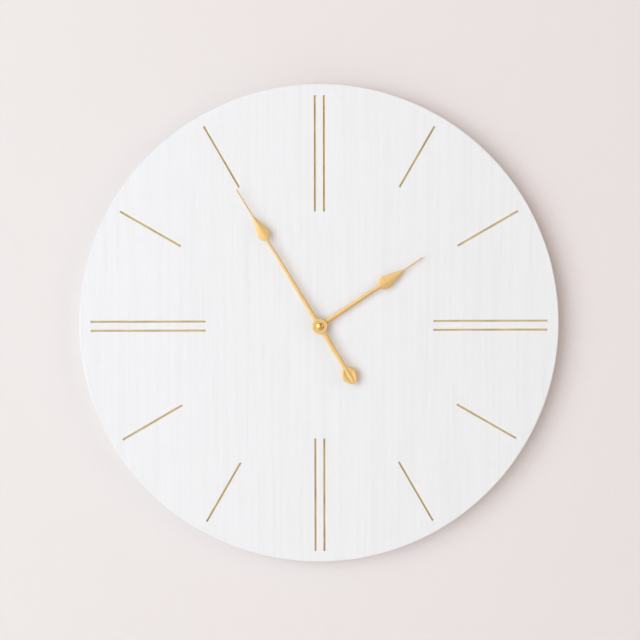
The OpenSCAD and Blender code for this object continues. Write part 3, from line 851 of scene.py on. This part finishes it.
def weight_half(u):
    """Half width where the counterweight closes to its blunt end."""
    _, widest, end = WEIGHT
    return WEIGHT_W / 2 * (1 - ((u - widest) / (end - widest)) ** 1.9)


def quarter(base, widest, steps):
    """Distances from a base to a widest place, close together at the base where the outline turns most."""
    return [widest - (widest - base) * math.cos(math.radians(90 * i / steps)) for i in range(steps + 1)]


def loft(name, stations, relief, back, angle, material, columns=16):
    """A blade whose half width at each station is given, flat behind and with relief(u, s) in front.

    s runs from -1 to 1 across the blade."""
    points, faces = [], []
    across = [-math.cos(math.pi * j / columns) for j in range(columns + 1)]
    for u, half in stations:
        row = [polar_frame(u, half * s, angle) for s in across]
        points += [(x, z, back + relief(u, s)) for (x, z), s in zip(row, across)]
        points += [(x, z, back) for x, z in row]
    wide = columns + 1
    starts = [2 * wide * i for i in range(len(stations))]
    for a, b in zip(starts, starts[1:]):
        for j in range(columns):
            faces.append([a + j, a + j + 1, b + j + 1, b + j])
            faces.append([a + wide + j, b + wide + j, b + wide + j + 1, a + wide + j + 1])
        for edge in (0, columns):
            faces.append([a + edge, b + edge, b + wide + edge, a + wide + edge])
    for start in (starts[0], starts[-1]):
        front, rear = range(start, start + wide), range(start + wide, start + 2 * wide)
        faces.append([*front, *reversed(rear)])
    return add_mesh(name, points, faces, material, 50)


def stem_stations(stem, base):
    """Half widths along a stem, flaring a little where it meets the boss."""
    flare = 0.6
    places = [0, 4, 6, 7, 8, 9.5, 12, *[base * i / 8 for i in range(3, 8)]]
    return [(u, (stem[0] + (stem[1] - stem[0]) * u / base) / 2 + flare * math.exp(-max(0, u - BOSS_R) / 1.2))
            for u in places]


def hand_stations(stem, leaf, leaf_w, length):
    """Half widths along a hand from its hub: stem, leaf and needle."""
    base, widest, end = leaf
    stations = stem_stations(stem, base)
    stations += [(u, swell(u, leaf, leaf_w, stem[1])) for u in quarter(base, widest, 14)]
    narrowing = [widest + (end - widest) * i / 20 for i in range(1, 21)]
    stations += [(u, leaf_half(u, leaf, leaf_w)) for u in narrowing]
    stations += [(end + (length - 2 - end) * i / 4, NEEDLE_W / 2 * (1 - 0.18 * i / 4)) for i in range(1, 5)]
    return stations + [(length - 1, 0.4), (length - 0.3, 0.2), (length, 0.06)]


def tail_stations():
    base, widest, end = WEIGHT
    stations = stem_stations(TAIL_STEM, base)
    stations += [(u, swell(u, WEIGHT, WEIGHT_W, TAIL_STEM[1])) for u in quarter(base, widest, 16)]
    far = [widest + (end - widest) * math.sin(math.radians(90 * i / 20)) for i in range(1, 20)]
    stations += [(u, weight_half(u)) for u in far]
    return stations + [(end, 0.12)]


def stem_relief(s):
    return BLADE_CROWN * (1 - abs(s) ** 2.4)


def ease(value):
    return max(0.0, min(1.0, value))


def blade_relief(leaf):
    """Half-round stem that turns into a softly ridged leaf and back into a round needle."""
    base, _, end = leaf

    def relief(u, s):
        inside = ease((u - base + 2) / 5) * ease((end + 3 - u) / 7)
        leaf_height = BLADE_CROWN * (0.86 * (1 - abs(s) ** 1.2) + 0.22 * (1 - abs(s) ** 7))
        return BLADE_EDGE + stem_relief(s) * (1 - inside) + leaf_height * inside

    return relief


def weight_relief(u, s):
    """Embossed counterweight: soft border, a vein with creases beside it and a dimple in each lobe."""
    base, widest, end = WEIGHT
    if u < base:
        return BLADE_EDGE + stem_relief(s)
    blend = ease((u - base) / 2.5)
    v = abs(s) * weight_half(max(u, widest))
    border = math.exp(-((abs(s) - 0.72) / 0.2) ** 2)
    vein = math.exp(-(v / 1.2) ** 2) * ease((end - u) / 5)
    crease = math.exp(-((v - 1.9) / 0.6) ** 2) * ease((end - 2 - u) / 5)
    dimple = math.exp(-((v - 3.3) / 0.9) ** 2 - (u - widest + 1.2) ** 2)
    shaped = 0.62 + 0.35 * border + 0.38 * vein - 0.45 * crease - 0.55 * dimple
    return BLADE_EDGE + stem_relief(s) * (1 - blend) + BLADE_CROWN * (1 - abs(s) ** 7) * shaped * blend


def boss_profile(back, hole):
    """Round hub: flat behind, with soft edges and a faintly dished front."""
    front = back + BOSS_T
    return [(hole, back), (BOSS_R - 0.15, back), (BOSS_R, back + 0.15), (BOSS_R, front - 0.3),
            (BOSS_R - 0.1, front - 0.1), (BOSS_R - 0.32, front), (BOSS_R - 1.2, front - 0.02),
            (hole + 1.4, front - 0.07), (hole + 0.6, front - 0.12), (hole, front - 0.12)]


def make_hand(name, material, blades, node, hole):
    """A turned boss with its lofted blades let into it, replacing a CAD hand."""
    back = depths(node)[0]
    hub = lathe(name, boss_profile(back, hole), material, segments=128)
    for blade in blades:
        bore = prism("bore", circle((0, 0), hole, 96), (back - 1, back + 3), material)
        boolean(blade, [bore], sharp_degrees=50)
    boolean(hub, blades, "UNION", sharp_degrees=50)
    place(hub, node, "gold_hand", node)


def make_hands():
    back = depths("minute_hand")[0]
    blade = loft("blade", hand_stations(MINUTE_STEM, MINUTE_LEAF, MINUTE_LEAF_W, MINUTE_LENGTH),
                 blade_relief(MINUTE_LEAF), back, MINUTE_ANGLE, minute_gold)
    tail = loft("tail", tail_stations(), weight_relief, back, MINUTE_ANGLE + math.pi, minute_gold, 32)
    make_hand("minute_blade", minute_gold, [blade, tail], "minute_hand", MINUTE_HOLE_R)
    back = depths("hour_hand")[0]
    blade = loft("blade", hand_stations(HOUR_STEM, HOUR_LEAF, HOUR_LEAF_W, HOUR_LENGTH),
                 blade_relief(HOUR_LEAF), back, HOUR_ANGLE, hour_gold)
    make_hand("hour_blade", hour_gold, [blade], "hour_hand", HOUR_HOLE_R)


def make_hand_nut():
    """Fluted round nut with a shallow dome, and the arbor's rounded tip standing out of it."""
    back, front = depths("hand_nut")
    side_r, bore_r, tip_r, tip_round = 3.15, 1.25, 0.9, 0.4
    shoulder, crest, bore_end = back + 0.8, front - 0.65, front - 0.8
    flute_depth, flutes_round = 0.06, 30
    profile = [(bore_r, back), (side_r - 0.2, back), (side_r - 0.03, back + 0.12), (side_r, back + 0.3),
               (side_r, shoulder - 0.15), (side_r - 0.15, shoulder)]
    for i in range(1, 13):
        turn = math.radians(7.5 * i)
        radius = tip_r + 0.25 + (side_r - 0.4 - tip_r) * math.cos(turn)
        profile.append((radius, shoulder + (crest - shoulder) * math.sin(turn)))
    profile += [(tip_r + 0.12, crest - 0.12), (tip_r, crest - 0.05), (tip_r, front - tip_round)]
    for degrees in range(15, 90, 15):
        turn = math.radians(degrees)
        profile.append((tip_r * math.cos(turn), front - tip_round + tip_round * math.sin(turn)))
    profile += [(0, front), (0, bore_end), (bore_r, bore_end)]

    def flutes(angle, radius):
        cut = flute_depth * abs(math.sin(flutes_round / 2 * angle))
        return radius - cut if radius > side_r - 0.02 else radius

    nut = lathe("hand_cap_nut", profile, nut_gold, segments=240, ripple=flutes)
    place(nut, "minute_hand", "gold_nut", "hand_nut")


def make_bushing():
    """Flanged bushing with a thread where it stands out of the dial."""
    back, front = depths("threaded_bushing")
    pitch, outer, root, bore = 0.75, THREAD_R, THREAD_R - 0.42, 2.65
    flange_r, flange_t = 5.5, 0.8
    depth = FACE - 2
    profile = [(bore, back), (flange_r - 0.1, back), (flange_r, back + 0.1), (flange_r, back + flange_t),
               (outer, back + flange_t), (outer, depth)]
    while depth + pitch < front - 0.3:
        profile += [(outer, depth + 0.1), (root, depth + pitch / 2), (outer, depth + pitch - 0.1)]
        depth += pitch
    profile += [(outer, front - 0.35), (outer - 0.35, front), (bore + 0.15, front), (bore, front - 0.15)]
    place(lathe("bushing_thread", profile, brass), "root", "brass", "threaded_bushing")


def make_washer():
    back, front = depths("fixing_washer")
    hole, outer = THREAD_R + 0.04, 6.1
    profile = [(hole, back), (outer - 0.15, back), (outer, back + 0.12), (outer, front - 0.15),
               (outer - 0.15, front), (hole + 0.08, front)]
    place(lathe("panel_washer", profile, brass), "root", "brass", "fixing_washer")


def make_hex_nut():
    """Hexagon with its corners turned down on both sides, and a countersunk hole."""
    back, front = depths("fixing_nut")
    corner_r, flat_r, chamfer = 5.8, 5.2, 0.35
    hole = THREAD_R + 0.04
    nut = prism("panel_nut", circle((0, 0), corner_r, 6), (back, front), brass)
    turned = [(0, back), (flat_r, back), (corner_r, back + chamfer), (corner_r, front - chamfer),
              (flat_r, front), (0, front)]
    boolean(nut, [lathe("turned", turned, brass)], "INTERSECT")
    sunk = [(0, back - 1), (hole, back - 1), (hole, front - 0.3), (hole + 0.48, front + 0.2),
            (0, front + 0.2)]
    boolean(nut, [lathe("sunk", sunk, brass)])
    place(nut, "root", "brass", "fixing_nut")


# ---- movement ----


def make_case():
    """The housing, hollowed for the gears and the cell and seated for the rear cover."""
    inner, side = CASE_INNER_HALF, (-CASE_HALF, CASE_HALF)
    below, above = PARTITION_Z
    beyond = CASE_HALF + 12
    slot_z = (-12.5, -10)
    outline = rounded(side, side, CASE_CORNER_R)
    case = prism("movement_case", outline, (CASE_BACK, CASE_FRONT), black_plastic)
    tools = [("gears", rectangle((-inner, inner), (above, inner)), (0, CASE_FRONT - 1.2)),
             ("bay", rounded((-inner, inner), (-inner, below), 1.2), (0, BAY_FLOOR)),
             ("seat", rectangle((-beyond, beyond), (below, beyond)), (0, COVER_FRONT)),
             ("bushing", circle((0, 0), 4, 64), (CASE_FRONT - 3, CASE_FRONT + 1)),
             ("notch", rounded((-7, 7), (-inner - 3, -inner + 1), 1.2), (0, 5.5)),
             ("slot", rectangle((-inner - 0.01, -inner + 0.3), slot_z), (9.4, 13.4)),
             ("slot", rectangle((inner - 0.3, inner + 0.01), slot_z), (12.2, 13.4))]
    for name, outline, depth in tools:
        boolean(case, [prism(name, outline, depth, black_plastic)])
    bevel(case, 0.3)
    place(case, "root", "black_plastic", "movement_housing")


def cell_axis():
    """Height and depth of the cell's axis."""
    return middle("battery_cell")[1], sum(depths("battery_cell")) / 2


def cradle_section():
    """Section (z, depth) of a cradle rib across the bay: flat on the floor, hollowed to the cell's round."""
    cell_z, cell_depth = cell_axis()
    hollow_r, half, steps = 7.35, 6.4, 12
    low, high = cell_z - half, cell_z + half
    hollow = []
    for i in range(steps + 1):
        z = high + (low - high) * i / steps
        depth = cell_depth + math.sqrt(max(0.0, hollow_r ** 2 - (z - cell_z) ** 2))
        hollow.append((z, min(BAY_FLOOR - 0.02, depth)))
    return [(max(low, -CASE_INNER_HALF), BAY_FLOOR + 0.3), (high, BAY_FLOOR + 0.3), *hollow]


def make_bay_ribs():
    """Cradle ribs that carry the cell, in the floor of the bay."""
    half_t = 0.5
    section = cradle_section()
    for i, x in enumerate((-16, 0, 16)):
        points = [(x + side * half_t, z, depth) for side in (-1, 1) for z, depth in section]
        rib = add_mesh(f"bay_rib_{i}", points, tube_faces(len(section)), black_plastic)
        place(rib, "root", "black_plastic")


def field_outline():
    """Sunk field of the cover, stopping short of its border and passing round the knob's well."""
    side, low, high, turn_r = 25.5, PARTITION_Z[0] + 2.5, 25.5, 7.6
    half_angle = math.degrees(math.acos((side - KNOB[0]) / turn_r))
    return [(-side, low), (side, low), *arc(KNOB, turn_r, -half_angle, half_angle - 360, 30),
            (side, high), (-side, high)]


def make_rear_cover():
    """Cover with a sunk field, a well for the setting knob and five ejector-pin marks."""
    well_r, wall_r, shaft_r = 5.1, 6.3, 1.04
    outline = rounded((-CASE_HALF, CASE_HALF), (PARTITION_Z[0], CASE_HALF), CASE_CORNER_R)
    plate = prism("movement_cover", outline, (CASE_BACK, COVER_FRONT), black_plastic)
    cup = prism("cup", circle(KNOB, wall_r, 72), (CASE_BACK, COVER_FRONT + 1.4), black_plastic)
    boolean(plate, [cup], "UNION")
    tools = [("well", circle(KNOB, well_r, 72), (0, COVER_FRONT + 0.4)),
             ("shaft", circle(KNOB, shaft_r, 24), (0, COVER_FRONT + 3)),
             ("field", field_outline(), (0, COVER_FIELD))]
    for centre in ((-22, 22), (22, 22), (-22, -6), (22, -5), (0, 22)):
        tools.append(("pin_mark", circle(centre, 1.6, 32), (0, COVER_FIELD + 0.12)))
    for name, outline, depth in tools:
        boolean(plate, [prism(name, outline, depth, black_plastic)])
    bevel(plate, 0.15)
    place(plate, "root", "black_plastic", "rear_cover")


def make_latches():
    """Two snap latches along the cover's upper edge."""
    half, z = 2.6, (CASE_HALF - 3.2, CASE_HALF - 1.6)
    for i, x in enumerate((-23, 23)):
        outline = rounded((x - half, x + half), z, 0.5)
        latch = prism(f"cover_latch_{i}", outline, (CASE_BACK - 0.25, CASE_BACK + 0.4), black_plastic)
        bevel(latch, 0.12)
        place(latch, "root", "black_plastic")


def make_cover_marks():
    """Plus and minus signs at the battery's ends and a curved arrow by the knob, proud of the field."""
    proud, rooted = 0.22, 0.1
    bar, half, sign_z = 0.28, 1.4, -7
    plus_x, minus_x = -22, 15
    across, up = (sign_z - bar, sign_z + bar), (sign_z - half, sign_z + half)
    marks = {"mark_plus_bar": rectangle((plus_x - half, plus_x + half), across),
             "mark_plus_stem": rectangle((plus_x - bar, plus_x + bar), up),
             "mark_minus": rectangle((minus_x - half, minus_x + half), across),
             "mark_arrow": arrow_outline(KNOB)}
    for name, outline in marks.items():
        mark = prism(name, outline, (COVER_FIELD - proud, COVER_FIELD + rooted), black_plastic)
        place(mark, "root", "black_plastic")


def arrow_outline(centre):
    """A band curved round a centre, ending in a pointed head."""
    ring_r, half_w, head_half_w = 8.9, 0.25, 1.1
    start, end, tip = 120, 180, 189
    outer = arc(centre, ring_r + half_w, start, end, 16)
    inner = arc(centre, ring_r - half_w, end, start, 16)
    head = [on_circle(centre, ring_r + head_half_w, end), on_circle(centre, ring_r, tip),
            on_circle(centre, ring_r - head_half_w, end)]
    return outer + head + inner


def make_knob():
    """Knurled setting knob with a dished end and a slot across it."""
    back, front = depths("setting_knob")
    outer, dish_r, slot_half = 4.45, 3.6, 3.1
    knurl_depth, knurls = 0.28, 18
    profile = [(0, back), (outer - 0.6, back), (outer - 0.2, back + 0.12), (outer, back + 0.4),
               (outer, front - 0.15), (outer - 0.2, front), (0, front)]

    def knurl(angle, radius):
        cut = knurl_depth * max(0.0, math.cos(knurls * angle)) ** 2
        return radius - cut if radius > outer - 0.3 else radius

    knob = lathe("setting_knob_cap", profile, white_plastic, KNOB, 360, knurl)
    slot_x, slot_z = (KNOB[0] - slot_half, KNOB[0] + slot_half), (KNOB[1] - 0.6, KNOB[1] + 0.6)
    slot = prism("slot", rounded(slot_x, slot_z, 0.4), (-1, back + 0.7), white_plastic)
    dish_profile = [(0, -1), (dish_r, -1), (dish_r, back + 0.02), (dish_r - 0.3, back + 0.2), (0, back + 0.2)]
    dish = lathe("dish", dish_profile, white_plastic, KNOB)
    boolean(knob, [dish, slot])
    place(knob, "setting_shaft", "white_plastic", "setting_knob")


# ---- battery ----


def along_cell(name, profile, material):
    """Revolves (radius, x) points about the cell's axis, which lies along X."""
    cell_z, cell_depth = cell_axis()

    def spot(x, a, b):
        return x, cell_z + a, cell_depth + b

    return revolve(name, profile, spot, material, 128, 30)


def make_battery():
    """Steel can with its button and rim, the film round it and the seal ring at the button."""
    low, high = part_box("battery_sleeve")
    film_r = (high.z - low.z) / 2 / MM - 0.02
    can_r = film_r - 0.12
    button, end = CELL_X
    can = along_cell("cell_can", [
        (0, button - 0.95), (2.3, button - 0.95), (2.6, button - 0.85), (2.7, button - 0.6),
        (2.72, button - 0.1), (3.1, button + 0.02), (4.6, button + 0.02), (5.6, button + 0.25),
        (6.4, button + 0.4), (can_r, button + 1.1), (can_r, end - 0.6), (film_r - 0.5, end - 0.2),
        (5.2, end - 0.05), (4.4, end), (0, end)], nickel)
    place(can, "battery", "battery_steel", "battery_cell")
    sleeve = along_cell("cell_film", [
        (5.4, button + 0.02), (6.3, button + 0.12), (film_r - 0.1, button + 0.55), (film_r, button + 1.1),
        (film_r, end - 1.0), (film_r - 0.08, end - 0.5), (6.5, end - 0.12), (5.9, end - 0.06),
        (5.9, end - 0.2), (6.4, end - 0.35), (film_r - 0.11, end - 1.0), (film_r - 0.11, button + 1.2),
        (6.2, button + 0.5), (5.4, button + 0.3)], film)
    place(sleeve, "battery", "battery_sleeve", "battery_sleeve")
    seal = along_cell("cell_seal", [
        (2.75, button - 0.02), (3.4, button - 0.16), (4.9, button - 0.12), (5.5, button + 0.05),
        (5.5, button + 0.3), (2.75, button + 0.3)], soft_rubber)
    place(seal, "battery", "battery_sleeve")


# ---- finishes of the CAD pieces that stay ----

CAD_FINISHES = [
    (ivory_plastic, ["coil_bobbin", "rotor_pinion", "fifth_wheel", "second_wheel", "third_wheel",
                     "centre_wheel", "hour_wheel", "motion_wheel", "setting_wheel"]),
    (nickel, ["quartz_crystal", "coil_core", "stator", "positive_contact", "negative_contact",
              "second_arbor"]),
    (grey_plastic, ["middle_plate"]),
    (soft_rubber, ["cushion_washer"]),
    (board_green, ["circuit_board"]),
    (epoxy, ["timing_chip"]),
    (wire, ["coil_winding"]),
    (magnet, ["rotor_magnet"]),
    (brass, ["minute_arbor"]),
    (minute_gold, ["minute_bush"]),
    (hour_gold, ["hour_collet"]),
]


def finish_cad_pieces():
    for material, names in CAD_FINISHES:
        for name in names:
            obj = frame["nodes"][name]
            obj.data.materials.clear()
            obj.data.materials.append(material)


make_camera()
make_lights()
make_backdrop()
finish_cad_pieces()
make_front_face()
make_core()
make_back_face()
make_hanger()
make_hands()
make_hand_nut()
make_bushing()
make_washer()
make_hex_nut()
make_case()
make_bay_ribs()
make_rear_cover()
make_cover_marks()
make_latches()
make_knob()
make_battery()
light_the_back()
